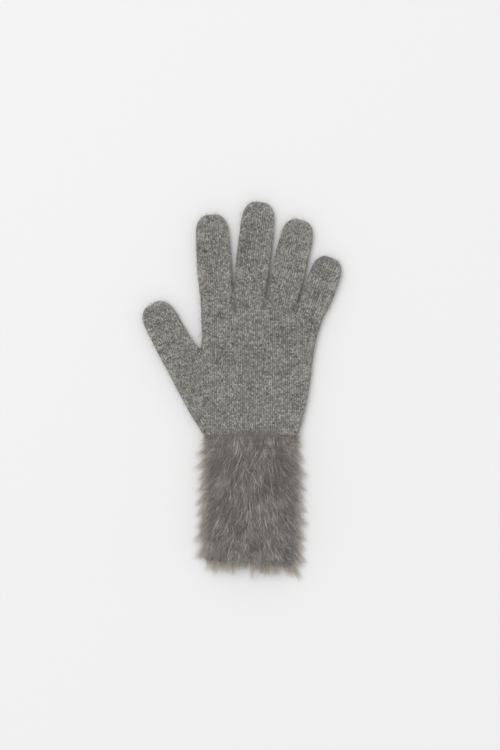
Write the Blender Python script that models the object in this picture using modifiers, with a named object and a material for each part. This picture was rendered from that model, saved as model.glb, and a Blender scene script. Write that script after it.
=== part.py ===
"""A knitted glove with a deep fur cuff, lying flat on its palm.

The knitted hand is one hollow shell: a palm, four fingers and a thumb knitted in one, open at the
wrist. The fur cuff is a second hollow piece, its backing and pile in one body with locks of fur
fused to it, and it meets the wrist edge to edge.

Metres, +Z up. The fingers point along +Y, the thumb lies towards -X, and the origin is the middle
of the palm's flat underside, on the surface that the glove lies on.
"""

import math
import random

import bmesh
import bpy
from mathutils import Vector

# Knitted hand
WALL = 0.0016  # thickness of the knitted fabric
PALM_WIDTH = 0.0880  # lying flat, across the base of the fingers
PALM_LENGTH = 0.1025  # wrist edge to the webs between the fingers
WRIST_WIDTH = 0.0714
HAND_THICKNESS = 0.0100  # both layers and the air between them
FINGER_LENGTH = 0.0786  # middle finger, web to tip
FINGER_WIDTH = 0.0268
WEB_GAP = 0.0004  # between two fingers that lie pressed together
THUMB_LENGTH = 0.0490  # thumb's web to its tip
THUMB_WIDTH = 0.0282
THUMB_TILT = -28.0  # degrees from +Y, towards -X
THUMB_WEB_HEIGHT = 0.0666  # thumb's web above the wrist edge
THUMB_WEB_SET = 0.0029  # thumb's web inside the line of the thumb's inner side

# Fur cuff
CUFF_LENGTH = 0.0960  # wrist edge to hem
CUFF_WIDTH = 0.0690  # of the backing, without its fur
BACKING = 0.0014  # thickness of the cuff's backing
JOIN_GAP = 0.0003  # between the knitted edge and the cuff
PILE_TOP = 0.0072  # dense fur above the backing, up to the roots of the locks
PILE_SIDE = 0.0040  # dense fur beside the backing
PILE_UNDER = 0.0008  # fur crushed flat under the cuff
LOCK_LENGTH = 0.0220
LOCK_RADIUS = 0.0042
FRINGE_RADIUS = 0.0032  # of the locks at the sides and the hem
HEM_SLANT = 0.0058  # how much further the hem hangs at +X than at -X

# Layout of the hand's cage
FINGER_COLUMNS = 3
THUMB_COLUMNS = 4
PALM_ROWS_UNDER_THUMB = THUMB_COLUMNS
PALM_ROWS_OVER_THUMB = 3
RIM_HEIGHT = 0.84  # height of the upper layer at its edge, as a share of the middle
WRIST_Y = -PALM_LENGTH / 2
WEB_DIP = 0.82  # height of the upper layer between two fingers, as a share of the middle
FULL_WIDTH_AT = 0.40  # share of a finger's length at which it reaches its full width
LIFT_RUN = 0.030  # length over which the hand rises to the cuff

# The ends of the fingers' base line, and the webs between them, from the thumb's side.
# across is a share of PALM_WIDTH from the centre line, up a share of PALM_LENGTH from the middle.
WEBS = (
    {"across": -0.446, "up": 0.535},
    {"across": -0.160, "up": 0.505},
    {"across": 0.112, "up": 0.475},
    {"across": 0.386, "up": 0.450},
    {"across": 0.622, "up": 0.372},
)

# length is a share of FINGER_LENGTH, width of FINGER_WIDTH, and tilt is in degrees from +Y.
FINGERS = (
    {"name": "index", "tilt": -3.3, "length": 0.838, "width": 1.015},
    {"name": "middle", "tilt": 6.5, "length": 1.004, "width": 1.010},
    {"name": "ring", "tilt": 13.4, "length": 0.885, "width": 0.990},
    {"name": "little", "tilt": 21.6, "length": 0.600, "width": 0.945},
)

# Sections along a finger: along is a share of its length up to where its tip begins to round,
# width a share of its own width.
FINGER_SECTIONS = (
    {"along": 0.17, "width": 1.05},
    {"along": 0.38, "width": 1.05},
    {"along": 0.60, "width": 1.03},
    {"along": 0.82, "width": 1.00},
    {"along": 1.00, "width": 0.98},
)

# Sections of a rounded tip: left is the length left to the very end, in finger widths.
TIP_SECTIONS = (
    {"left": 0.46, "width": 0.98, "height": 1.00},
    {"left": 0.24, "width": 0.90, "height": 0.97},
    {"left": 0.08, "width": 0.66, "height": 0.90},
    {"left": 0.00, "width": 0.34, "height": 0.78},
)

# Sections of the thumb, from the palm outwards. inner follows the side towards the index finger,
# outer the long side that starts at the wrist, both as shares of THUMB_LENGTH. flare is how far
# the inner side still lies towards the web, as a share of THUMB_WEB_SET, and swell how far the
# long side stands out of its straight line, as a share of THUMB_WIDTH.
THUMB_SECTIONS = (
    {"inner": 0.10, "outer": 0.42, "flare": 0.56, "swell": 0.055},
    {"inner": 0.23, "outer": 0.83, "flare": 0.20, "swell": 0.020},
    {"inner": 0.40, "outer": 1.17, "flare": 0.00, "swell": 0.000},
    {"inner": 0.58, "outer": 1.45, "flare": 0.00, "swell": 0.000},
)

# How far the palm's far side stands out of the straight line from wrist to little finger.
# bulge is a share of PALM_WIDTH, one row for each row of the palm's cage above the wrist.
PALM_SIDE = (
    {"bulge": 0.016},
    {"bulge": 0.021},
    {"bulge": 0.012},
    {"bulge": -0.002},
    {"bulge": -0.018},
    {"bulge": -0.014},
)

# Sections of the fur's outside, from the wrist to the hem: along is a share of CUFF_LENGTH, the
# rest are shares of the pile beside, above and under the backing.
FUR_SECTIONS = (
    {"along": 0.000, "side": 0.00, "top": 0.20, "under": 0.55},
    {"along": 0.060, "side": 0.25, "top": 0.62, "under": 0.90},
    {"along": 0.160, "side": 0.60, "top": 0.92, "under": 1.00},
    {"along": 0.330, "side": 0.85, "top": 1.00, "under": 1.00},
    {"along": 0.520, "side": 0.95, "top": 0.98, "under": 1.00},
    {"along": 0.710, "side": 1.00, "top": 0.96, "under": 1.00},
    {"along": 0.880, "side": 0.90, "top": 0.85, "under": 1.00},
    {"along": 1.000, "side": 0.30, "top": 0.30, "under": 0.70},
)
HOLLOW_SECTIONS = (0.0, 0.34, 0.68, 1.0)
RING_POINTS = 20

# Powers of the sine in a section's outline: 1 is a plain oval, and less is flatter.
FUR_CROWN = 0.62
FUR_BELLY = 0.22
HOLLOW_FLATNESS = 0.26
SIDE_FLATNESS = 0.75

# Rows of locks over the cuff's upper side: along is a share of CUFF_LENGTH, count is how many,
# and size scales LOCK_LENGTH and LOCK_RADIUS, because the fur is shorter next to the knitting.
LOCK_ROWS = (
    {"along": 0.035, "count": 8, "size": 0.70},
    {"along": 0.125, "count": 8, "size": 0.88},
    {"along": 0.235, "count": 7, "size": 1.00},
    {"along": 0.345, "count": 8, "size": 1.00},
    {"along": 0.455, "count": 7, "size": 1.00},
    {"along": 0.565, "count": 8, "size": 1.00},
    {"along": 0.670, "count": 7, "size": 1.00},
    {"along": 0.775, "count": 8, "size": 1.00},
)
ROW_SPREAD = 0.90  # how far a row reaches to either side, as a share of the fur's half width
TOP_FAN = 40  # degrees by which the outermost locks of a row turn to the side
SIDE_FAN = 14  # the same for the locks of the fringe
FAN_WANDER = 8  # degrees by which a lock may miss its direction
SIDE_LOCKS = 12
HEM_LOCKS = 11

# Thickness along a lock, as shares of its length and of its radius.
LOCK_PROFILE = (
    {"along": 0.00, "thick": 0.65},
    {"along": 0.35, "thick": 1.00},
    {"along": 0.70, "thick": 0.62},
    {"along": 1.00, "thick": 0.06},
)
SEED = 7


def clear_scene():
    for obj in list(bpy.data.objects):
        bpy.data.objects.remove(obj, do_unlink=True)


def make_material(name, colour, roughness):
    material = bpy.data.materials.new(name)
    material.use_nodes = True
    shader = material.node_tree.nodes["Principled BSDF"]
    shader.inputs["Base Color"].default_value = (*colour, 1.0)
    shader.inputs["Roughness"].default_value = roughness
    shader.inputs["Metallic"].default_value = 0.0
    return material


def add_object(name, mesh, material, collection):
    obj = bpy.data.objects.new(name, mesh)
    obj.data.materials.append(material)
    collection.objects.link(obj)
    return obj


def smooth(t):
    """0 to 1 with level ends."""
    t = min(1.0, max(0.0, t))
    return t * t * (3 - 2 * t)


def heading(tilt):
    """Unit vector in the plan that leans tilt degrees from +Y towards +X."""
    angle = math.radians(tilt)
    return Vector((math.sin(angle), math.cos(angle)))


def to_the_right(direction):
    return Vector((direction.y, -direction.x))


def cross(a, b):
    return a.x * b.y - a.y * b.x


def web(index):
    return Vector((WEBS[index]["across"] * PALM_WIDTH, WEBS[index]["up"] * PALM_LENGTH))


def lift(y):
    """Height of the hand's underside: flat, then up to the cuff that lies on its own fur."""
    return PILE_UNDER * (1 - smooth((y - WRIST_Y) / LIFT_RUN))


class HandCage:
    """The plan of the hand as one flat sheet of quads, with the height of its upper layer."""

    def __init__(self):
        self.bm = bmesh.new()
        self.height = self.bm.verts.layers.float.new("height")

    def place(self, vert, point, height):
        vert.co = (point.x, point.y, lift(point.y))
        vert[self.height] = height

    def palm(self):
        """A grid from the wrist to the base line of the fingers, returned as rows of vertices."""
        columns = FINGER_COLUMNS * len(FINGERS)
        rows = PALM_ROWS_UNDER_THUMB + PALM_ROWS_OVER_THUMB
        made = bmesh.ops.create_grid(self.bm, x_segments=columns, y_segments=rows, size=1)
        ordered = sorted(made["verts"], key=lambda v: (round(v.co.y, 4), round(v.co.x, 4)))
        grid = [ordered[r * (columns + 1) : (r + 1) * (columns + 1)] for r in range(rows + 1)]
        for r, row in enumerate(grid):
            for c, vert in enumerate(row):
                self.place(vert, palm_point(r, c), palm_height(r, c))
        return grid

    def next_section(self, section, points, heights):
        """Extrudes the chain of vertices section to points, and returns the new chain."""
        edges = [self.bm.edges.get((a, b)) for a, b in zip(section, section[1:])]
        extruded = bmesh.ops.extrude_edge_only(self.bm, edges=edges)["geom"]
        fresh = [item for item in extruded if isinstance(item, bmesh.types.BMVert)]
        chain = [min(fresh, key=lambda v: (v.co - old.co).length) for old in section]
        for new, point, height in zip(chain, points, heights):
            self.place(new, point, height)
        return chain


def across_heights(count, height=1.0):
    """Heights of a section's vertices: its two edges lie lower than its middle."""
    return [height * (RIM_HEIGHT if i in (0, count) else 1.0) for i in range(count + 1)]


def finger_base(column):
    """Point of the fingers' base line above a column of the palm's cage."""
    finger, part = divmod(column, FINGER_COLUMNS)
    if part == 0:
        return web(finger)
    return web(finger).lerp(web(finger + 1), part / FINGER_COLUMNS)


def palm_row_share(row):
    """Height of a row of the palm's cage at the thumb's side, as a share of the palm's side."""
    side = web(0).y - WRIST_Y
    thumb = THUMB_WEB_HEIGHT / side
    if row <= PALM_ROWS_UNDER_THUMB:
        return thumb * row / PALM_ROWS_UNDER_THUMB
    return thumb + (1 - thumb) * (row - PALM_ROWS_UNDER_THUMB) / PALM_ROWS_OVER_THUMB


def palm_point(row, column):
    columns = FINGER_COLUMNS * len(FINGERS)
    across = column / columns
    wrist = Vector(((across - 0.5) * WRIST_WIDTH, WRIST_Y))
    point = wrist.lerp(finger_base(column), palm_row_share(row))
    if 0 < row <= len(PALM_SIDE):
        point.x += PALM_SIDE[row - 1]["bulge"] * PALM_WIDTH * across**2
    return point


def palm_height(row, column):
    columns = FINGER_COLUMNS * len(FINGERS)
    last = PALM_ROWS_UNDER_THUMB + PALM_ROWS_OVER_THUMB
    under_web = column % FINGER_COLUMNS == 0 and 0 < column < columns
    if column == columns or (column == 0 and (row > PALM_ROWS_UNDER_THUMB or row == 0)):
        return RIM_HEIGHT
    if under_web and row == last:
        return WEB_DIP
    if under_web and row == last - 1:
        return (WEB_DIP + 1) / 2
    return 1.0


def to_web_line(centre, right, index, tilt):
    """Distance from centre, along right, to the line on which two pressed fingers meet."""
    line = heading(tilt)
    return cross(web(index) - centre, line) / cross(right, line)


def finger_section(number, along, width):
    """The two side points of a finger's section at a distance along its centre line."""
    finger = FINGERS[number]
    base = (web(number) + web(number + 1)) / 2
    direction = heading(finger["tilt"])
    right = to_the_right(direction)
    centre = base + direction * along
    half = width * finger["width"] * FINGER_WIDTH / 2
    narrow = (web(number + 1) - web(number)).length / 2
    full_at = finger["length"] * FINGER_LENGTH * FULL_WIDTH_AT
    outer = narrow + (half - narrow) * smooth(along / full_at)
    sides = []
    for sign, index, neighbour in ((-1, number, number - 1), (1, number + 1, number + 1)):
        reach = outer
        if 0 <= neighbour < len(FINGERS):
            meeting = (finger["tilt"] + FINGERS[neighbour]["tilt"]) / 2
            limit = sign * to_web_line(centre, right, index, meeting) - WEB_GAP / 2
            reach = min(half, limit)
        sides.append(centre + right * (sign * reach))
    return sides


def between(sides, count):
    return [sides[0].lerp(sides[1], i / count) for i in range(count + 1)]


def add_finger(cage, number, base):
    finger = FINGERS[number]
    length = finger["length"] * FINGER_LENGTH
    width = finger["width"] * FINGER_WIDTH
    straight = length - TIP_SECTIONS[0]["left"] * width
    section = base
    for row in FINGER_SECTIONS:
        sides = finger_section(number, row["along"] * straight, row["width"])
        heights = across_heights(FINGER_COLUMNS)
        section = cage.next_section(section, between(sides, FINGER_COLUMNS), heights)
    for tip in TIP_SECTIONS[1:]:
        sides = finger_section(number, length - tip["left"] * width, tip["width"])
        heights = across_heights(FINGER_COLUMNS, tip["height"])
        section = cage.next_section(section, between(sides, FINGER_COLUMNS), heights)


def add_thumb(cage, base):
    """Base is the palm's side from the wrist up to the thumb's web."""
    direction = heading(THUMB_TILT)
    right = to_the_right(direction)
    wrist, thumb_web = base[0].co.to_2d(), base[-1].co.to_2d()
    side = thumb_web - right * THUMB_WEB_SET
    foot = side - right * THUMB_WIDTH
    tip = side - right * (THUMB_WIDTH / 2) + direction * THUMB_LENGTH
    section = base
    for row in THUMB_SECTIONS:
        inner = side + direction * (row["inner"] * THUMB_LENGTH)
        inner += right * (row["flare"] * THUMB_WEB_SET)
        reach, run = row["outer"] * THUMB_LENGTH, (foot - wrist).length
        outer = wrist.lerp(foot, reach / run) if reach < run else foot + direction * (reach - run)
        outer -= right * (row["swell"] * THUMB_WIDTH)
        points = between((outer, inner), THUMB_COLUMNS)
        section = cage.next_section(section, points, across_heights(THUMB_COLUMNS))
    for row in TIP_SECTIONS:
        centre = tip - direction * (row["left"] * THUMB_WIDTH)
        half = right * (row["width"] * THUMB_WIDTH / 2)
        points = between((centre - half, centre + half), THUMB_COLUMNS)
        section = cage.next_section(section, points, across_heights(THUMB_COLUMNS, row["height"]))


def knit_hand(material, collection):
    """Both layers of the hand from its plan, rounded, and given the wall of the fabric."""
    cage = HandCage()
    grid = cage.palm()
    for number in range(len(FINGERS)):
        start = number * FINGER_COLUMNS
        add_finger(cage, number, grid[-1][start : start + FINGER_COLUMNS + 1])
    add_thumb(cage, [row[0] for row in grid[: PALM_ROWS_UNDER_THUMB + 1]])

    bm, height = cage.bm, cage.height
    upper = bmesh.ops.extrude_face_region(bm, geom=list(bm.faces), use_keep_orig=True)["geom"]
    for vert in (item for item in upper if isinstance(item, bmesh.types.BMVert)):
        vert.co.z += vert[height] * HAND_THICKNESS
    at_wrist = [f for f in bm.faces if all(abs(v.co.y - WRIST_Y) < 1e-6 for v in f.verts)]
    bmesh.ops.delete(bm, geom=at_wrist, context="FACES_ONLY")
    bmesh.ops.recalc_face_normals(bm, faces=list(bm.faces))
    mesh = bpy.data.meshes.new("knit_hand")
    bm.to_mesh(mesh)
    bm.free()
    mesh.shade_smooth()
    obj = add_object("knit_hand", mesh, material, collection)
    rounded = obj.modifiers.new("rounded", "SUBSURF")
    rounded.levels = rounded.render_levels = 1
    fabric = obj.modifiers.new("fabric", "SOLIDIFY")
    fabric.thickness = WALL
    fabric.offset = -1
    fabric.use_even_offset = True
    return obj


def ring(half_width, low, high, along, crown, belly):
    """Points round the cuff at a share along it: a flattened oval from low to high. crown and
    belly are the powers that flatten its upper and its lower half."""
    points = []
    for i in range(RING_POINTS):
        angle = 2 * math.pi * i / RING_POINTS
        c, s = math.cos(angle), math.sin(angle)
        x = half_width * math.copysign(abs(c) ** SIDE_FLATNESS, c)
        rise = math.copysign(abs(s) ** (crown if s > 0 else belly), s)
        y = CUFF_TOP - along * (CUFF_LENGTH + HEM_SLANT * (x / CUFF_WIDTH + 0.5))
        points.append(Vector((x, y, (low + high) / 2 + (high - low) / 2 * rise)))
    return points


CUFF_TOP = WRIST_Y - JOIN_GAP
BACK_LOW = PILE_UNDER
BACK_HIGH = PILE_UNDER + HAND_THICKNESS


def backing_half_width(along):
    start = WRIST_WIDTH / 2
    return start + (CUFF_WIDTH / 2 - start) * smooth(along / 0.15)


def fur_ring(row):
    half = backing_half_width(row["along"]) + row["side"] * PILE_SIDE
    low = BACK_LOW - row["under"] * PILE_UNDER
    high = BACK_HIGH + row["top"] * PILE_TOP
    return ring(half, low, high, row["along"], FUR_CROWN, FUR_BELLY)


def hollow_ring(along):
    half = backing_half_width(along) - BACKING
    low, high = BACK_LOW + BACKING, BACK_HIGH - BACKING
    return ring(half, low, high, along, HOLLOW_FLATNESS, HOLLOW_FLATNESS)


def cuff_body():
    """The backing and the dense fur round it: rings down the outside and back up the hollow."""
    bm = bmesh.new()
    rings = [fur_ring(row) for row in FUR_SECTIONS]
    rings += [hollow_ring(along) for along in reversed(HOLLOW_SECTIONS)]
    loops = [[bm.verts.new(point) for point in points] for points in rings]
    for upper, lower in zip(loops, loops[1:] + loops[:1]):
        for i in range(RING_POINTS):
            bm.faces.new((upper[i - 1], upper[i], lower[i], lower[i - 1]))
    bmesh.ops.recalc_face_normals(bm, faces=list(bm.faces))
    mesh = bpy.data.meshes.new("fur_cuff")
    bm.to_mesh(mesh)
    bm.free()
    mesh.shade_smooth()
    return mesh


def bed(x, y):
    """Height of what a lock lies on: the backing, or the surface under the glove beside it."""
    beside = abs(x) > CUFF_WIDTH / 2 or y < CUFF_TOP - CUFF_LENGTH
    return 0 if beside else BACK_HIGH - BACKING / 2


def add_lock(splines, root, fan, rise, droop, length, radius):
    """One tapered lock from root, fan degrees off -Y towards +X. rise and droop are shares of
    its length: how far it climbs, and how far its tip then sinks."""
    spline = splines.new("POLY")
    spline.points.add(len(LOCK_PROFILE) - 1)
    towards = Vector((math.sin(math.radians(fan)), -math.cos(math.radians(fan)), rise))
    for point, row in zip(spline.points, LOCK_PROFILE):
        place = root + towards * (length * row["along"])
        place.z -= droop * length * row["along"] ** 2
        point.radius = radius * row["thick"]
        place.z = max(place.z, bed(place.x, place.y) + point.radius * 0.72)
        point.co = (*place, 1.0)


def top_height(along, across):
    """Height of the fur's upper side at a share along the cuff and a share across it."""
    rows = zip(FUR_SECTIONS, FUR_SECTIONS[1:])
    low, high = next((a, b) for a, b in rows if along <= b["along"])
    t = (along - low["along"]) / (high["along"] - low["along"])
    top = low["top"] + (high["top"] - low["top"]) * t
    middle = (BACK_HIGH + top * PILE_TOP) / 2
    return middle + middle * (1 - abs(across) ** 2.7) ** 0.5


def top_locks(splines, rng):
    """Rows over the upper side, combed towards the hem and fanning out to the sides."""
    for row in LOCK_ROWS:
        for i in range(row["count"]):
            across = ((i + 0.5) / row["count"] * 2 - 1) * ROW_SPREAD + rng.uniform(-0.04, 0.04)
            x = across * (backing_half_width(row["along"]) + PILE_SIDE)
            y = CUFF_TOP - row["along"] * CUFF_LENGTH
            radius = LOCK_RADIUS * row["size"]
            root = Vector((x, y, top_height(row["along"], across) - radius * 0.45))
            fan = TOP_FAN * across * abs(across) ** 0.5 + rng.uniform(-FAN_WANDER, FAN_WANDER)
            rise = 0.16 - 0.32 * across**2
            droop = 0.16 + 0.16 * across**2
            length = LOCK_LENGTH * row["size"] * rng.uniform(0.86, 1.10)
            add_lock(splines, root, fan, rise, droop, length, radius)


def side_locks(splines, rng):
    """The fringe down both sides, alternately higher and lower."""
    for sign in (-1, 1):
        for i in range(SIDE_LOCKS):
            along = 0.09 + 0.84 * i / (SIDE_LOCKS - 1)
            x = sign * (backing_half_width(along) + PILE_SIDE * 0.35)
            y = CUFF_TOP - along * CUFF_LENGTH - along * HEM_SLANT * (0.5 + 0.5 * sign)
            z = BACK_LOW + HAND_THICKNESS * (0.27 + 0.45 * (i % 2))
            fan = sign * (SIDE_FAN + rng.uniform(-FAN_WANDER, FAN_WANDER))
            length = LOCK_LENGTH * (0.70 + 0.60 * along * (1 - along)) * rng.uniform(0.88, 1.06)
            add_lock(splines, Vector((x, y, z)), fan, 0.02, 0.14, length, FRINGE_RADIUS)


def hem_locks(splines, rng):
    """The fringe along the hem's upper edge, hanging past the mouth."""
    for i in range(HEM_LOCKS):
        across = (i + 0.5) / HEM_LOCKS * 2 - 1
        x = across * (CUFF_WIDTH / 2 - FRINGE_RADIUS * 0.6)
        y = CUFF_TOP - CUFF_LENGTH * 0.90 - HEM_SLANT * (across / 2 + 0.5)
        z = BACK_HIGH + FRINGE_RADIUS * 0.8
        fan = 12 * across + rng.uniform(-FAN_WANDER, FAN_WANDER)
        root = Vector((x, y, z))
        length = LOCK_LENGTH * rng.uniform(0.80, 0.96)
        add_lock(splines, root, fan, -0.02, 0.08, length, FRINGE_RADIUS)


def fur_locks(collection):
    """All the locks as one curve object, made a mesh for the union with the cuff's body."""
    rng = random.Random(SEED)
    curve = bpy.data.curves.new("locks", "CURVE")
    curve.dimensions = "3D"
    curve.bevel_depth = 1.0
    curve.bevel_resolution = 0
    curve.use_fill_caps = True
    top_locks(curve.splines, rng)
    side_locks(curve.splines, rng)
    hem_locks(curve.splines, rng)

    curve_object = bpy.data.objects.new("locks_curve", curve)
    collection.objects.link(curve_object)
    graph = bpy.context.evaluated_depsgraph_get()
    mesh = bpy.data.meshes.new_from_object(curve_object.evaluated_get(graph))
    bpy.data.objects.remove(curve_object)
    bm = bmesh.new()
    bm.from_mesh(mesh)
    bmesh.ops.remove_doubles(bm, verts=list(bm.verts), dist=1e-6)
    bmesh.ops.recalc_face_normals(bm, faces=list(bm.faces))
    bm.to_mesh(mesh)
    bm.free()
    locks = bpy.data.objects.new("locks", mesh)
    collection.objects.link(locks)
    locks.hide_render = True
    locks.display_type = "WIRE"
    return locks


def fur_cuff(material, collection, cutters):
    obj = add_object("fur_cuff", cuff_body(), material, collection)
    fused = obj.modifiers.new("locks", "BOOLEAN")
    fused.operation = "UNION"
    fused.solver = "EXACT"
    fused.use_self = True
    fused.object = fur_locks(cutters)
    return obj


def main():
    clear_scene()
    glove = bpy.data.collections.new("knit_glove")
    cutters = bpy.data.collections.new("helpers")
    bpy.context.scene.collection.children.link(glove)
    bpy.context.scene.collection.children.link(cutters)
    wool = make_material("grey_wool", (0.212, 0.206, 0.187), 0.95)
    fur = make_material("grey_fur", (0.165, 0.152, 0.138), 0.85)
    knit_hand(wool, glove)
    fur_cuff(fur, glove, cutters)


main()
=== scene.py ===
"""A grey knitted glove with a deep fur cuff, lying flat and seen from straight above."""

import math
import random

import bpy
import numpy as np
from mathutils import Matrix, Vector, noise


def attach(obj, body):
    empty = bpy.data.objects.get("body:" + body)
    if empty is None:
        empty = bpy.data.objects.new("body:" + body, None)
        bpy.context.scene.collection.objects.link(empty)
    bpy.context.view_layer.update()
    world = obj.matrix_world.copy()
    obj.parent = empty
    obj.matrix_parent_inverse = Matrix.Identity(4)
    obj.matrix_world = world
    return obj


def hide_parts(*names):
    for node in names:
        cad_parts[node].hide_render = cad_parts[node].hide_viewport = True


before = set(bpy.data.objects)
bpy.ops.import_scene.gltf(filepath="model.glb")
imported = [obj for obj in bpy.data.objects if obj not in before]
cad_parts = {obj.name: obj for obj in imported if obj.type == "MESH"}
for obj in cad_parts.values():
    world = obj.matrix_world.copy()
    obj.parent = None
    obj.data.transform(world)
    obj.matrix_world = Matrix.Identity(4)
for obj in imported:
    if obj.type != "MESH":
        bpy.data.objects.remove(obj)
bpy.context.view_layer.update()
scene = bpy.context.scene


# Camera. The picture is taken from straight above with +Y up the frame, from far enough away
# that the deep fur doesn't lean outwards. A picture pixel covers 0.765 mm at the glove's height.
PICTURE_HEIGHT = 0.57375
CAMERA_DISTANCE = 2.2
CAMERA_AIM = (-0.0008, -0.0038, 0.008)

camera_data = bpy.data.cameras.new("camera")
camera_data.sensor_fit = "VERTICAL"
camera_data.sensor_height = 24
camera_data.lens = 24 * CAMERA_DISTANCE / PICTURE_HEIGHT
camera = bpy.data.objects.new("camera", camera_data)
camera.location = (CAMERA_AIM[0], CAMERA_AIM[1], CAMERA_AIM[2] + CAMERA_DISTANCE)
scene.collection.objects.link(camera)
scene.camera = camera
scene.view_settings.view_transform = "Standard"


# Floor and light. A seamless pale table, an even white surround, and one very large soft box
# above the thumb's side, which leaves only a faint shadow at the far side of the fur.
bpy.ops.object.select_all(action="DESELECT")
bpy.ops.mesh.primitive_plane_add(size=6, location=(0, 0, -0.0002))
floor = bpy.context.object
floor.name = "floor"
floor_paper = bpy.data.materials.new("pale_paper")
floor_paper.use_nodes = True
paper = floor_paper.node_tree.nodes["Principled BSDF"]
paper.inputs["Base Color"].default_value = (0.785, 0.785, 0.785, 1)
paper.inputs["Roughness"].default_value = 0.9
paper.inputs["Specular IOR Level"].default_value = 0.1
floor.data.materials.append(floor_paper)

surround = bpy.data.worlds.new("surround")
surround.use_nodes = True
surround.node_tree.nodes["Background"].inputs["Color"].default_value = (1, 1, 1, 1)
surround.node_tree.nodes["Background"].inputs["Strength"].default_value = 0.80
scene.world = surround

soft_box_data = bpy.data.lights.new("soft_box", "AREA")
soft_box_data.shape = "SQUARE"
soft_box_data.size = 3.2
soft_box_data.energy = 108
soft_box = bpy.data.objects.new("soft_box", soft_box_data)
soft_box.location = (-1.5, 1.4, 4.8)
soft_box.rotation_euler = (Vector((0, 0, 0)) - soft_box.location).to_track_quat("-Z", "Y").to_euler()
scene.collection.objects.link(soft_box)


# Knitted hand. One tube of fine jersey with four fingers and a thumb, about 1.6 mm thick and
# open at the wrist. Its fabric follows the CAD solid, with the soft unevenness of cloth that
# lies on a table. The fingers press against each other next to their webs, in soft creases.
UNEVEN = 0.00045
UNEVEN_SPAN = 0.019
CREASE = 0.0017
WRIST_Y = -0.05125
HAND_HEIGHT = 0.0100
LOWEST_CLOTH = 0.0002
# How dark the cloth under the stitches is painted: painted shade that shows between the yarn legs.
STITCH_GAP_SHADE = 0.04
FIBRE_SCALE = 2600
FIBRE_DEPTH = 0.0001

knit_shell = bpy.data.objects.new("knit_shell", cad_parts["knit_hand"].data.copy())
scene.collection.objects.link(knit_shell)
bpy.ops.object.select_all(action="DESELECT")
bpy.context.view_layer.objects.active = knit_shell
knit_shell.select_set(True)
bpy.ops.object.mode_set(mode="EDIT")
bpy.ops.mesh.select_all(action="SELECT")
bpy.ops.mesh.remove_doubles(threshold=0.00002)
bpy.ops.mesh.tris_convert_to_quads(face_threshold=math.radians(50), shape_threshold=math.radians(60))
bpy.ops.object.mode_set(mode="OBJECT")


def outer_faces(mesh):
    """Faces of the outside layer: those joined to the highest point without crossing the rim."""
    touching = {}
    for face in mesh.polygons:
        if face.center.y < WRIST_Y + 0.0003 and face.normal.y < -0.8:
            continue
        for vert in face.vertices:
            touching.setdefault(vert, []).append(face.index)
    top = max(mesh.vertices, key=lambda v: v.co.z if v.co.y > 0 else 0).index
    found, waiting = set(), [top]
    seen = {top}
    while waiting:
        for face in touching[waiting.pop()]:
            if face in found:
                continue
            found.add(face)
            for vert in mesh.polygons[face].vertices:
                if vert not in seen:
                    seen.add(vert)
                    waiting.append(vert)
    return found


def fibre_noise():
    """Node group: the fine fibres of wool, as a mask and as a normal."""
    group = bpy.data.node_groups.new("fibre", "ShaderNodeTree")
    group.interface.new_socket("Coordinates", in_out="INPUT", socket_type="NodeSocketVector")
    scale = group.interface.new_socket("Scale", in_out="INPUT", socket_type="NodeSocketFloat")
    scale.default_value = FIBRE_SCALE
    depth = group.interface.new_socket("Depth", in_out="INPUT", socket_type="NodeSocketFloat")
    depth.default_value = FIBRE_DEPTH
    group.interface.new_socket("Mask", in_out="OUTPUT", socket_type="NodeSocketFloat")
    group.interface.new_socket("Normal", in_out="OUTPUT", socket_type="NodeSocketVector")
    start = group.nodes.new("NodeGroupInput")
    end = group.nodes.new("NodeGroupOutput")
    grain = group.nodes.new("ShaderNodeTexNoise")
    grain.inputs["Detail"].default_value = 2
    bump = group.nodes.new("ShaderNodeBump")
    bump.inputs["Strength"].default_value = 0.6
    link = group.links.new
    link(start.outputs["Coordinates"], grain.inputs["Vector"])
    link(start.outputs["Scale"], grain.inputs["Scale"])
    link(start.outputs["Depth"], bump.inputs["Distance"])
    link(grain.outputs["Fac"], bump.inputs["Height"])
    link(grain.outputs["Fac"], end.inputs["Mask"])
    link(bump.outputs["Normal"], end.inputs["Normal"])
    return group


fibre = fibre_noise()


def soft_fibre_material(name, stops, attribute, sheen):
    """Matte fibre whose colour runs along stops by a value stored on the piece."""
    material = bpy.data.materials.new(name)
    material.use_nodes = True
    nodes, link = material.node_tree.nodes, material.node_tree.links.new
    shader = nodes["Principled BSDF"]
    shader.inputs["Roughness"].default_value = 0.92
    shader.inputs["Specular IOR Level"].default_value = 0.18
    shader.inputs["Sheen Weight"].default_value = sheen
    shader.inputs["Sheen Roughness"].default_value = 0.5
    value = nodes.new("ShaderNodeAttribute")
    value.attribute_name = attribute
    ramp = nodes.new("ShaderNodeValToRGB")
    ends = (ramp.color_ramp.elements[0], ramp.color_ramp.elements[1])
    for stop, (position, colour) in zip(ends, stops):
        stop.position = position
        stop.color = (*colour, 1)
    for position, colour in stops[2:]:
        ramp.color_ramp.elements.new(position).color = (*colour, 1)
    place = nodes.new("ShaderNodeTexCoord")
    grain = nodes.new("ShaderNodeGroup")
    grain.node_tree = fibre
    grain.inputs["Scale"].default_value = FIBRE_SCALE
    grain.inputs["Depth"].default_value = FIBRE_DEPTH
    mottle = nodes.new("ShaderNodeMixRGB")
    mottle.blend_type = "SOFT_LIGHT"
    mottle.inputs["Fac"].default_value = 0.5
    link(value.outputs["Fac"], ramp.inputs["Fac"])
    link(place.outputs["Object"], grain.inputs["Coordinates"])
    link(ramp.outputs["Color"], mottle.inputs["Color1"])
    link(grain.outputs["Mask"], mottle.inputs["Color2"])
    link(mottle.outputs["Color"], shader.inputs["Base Color"])
    link(grain.outputs["Normal"], shader.inputs["Normal"])
    return material


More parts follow.
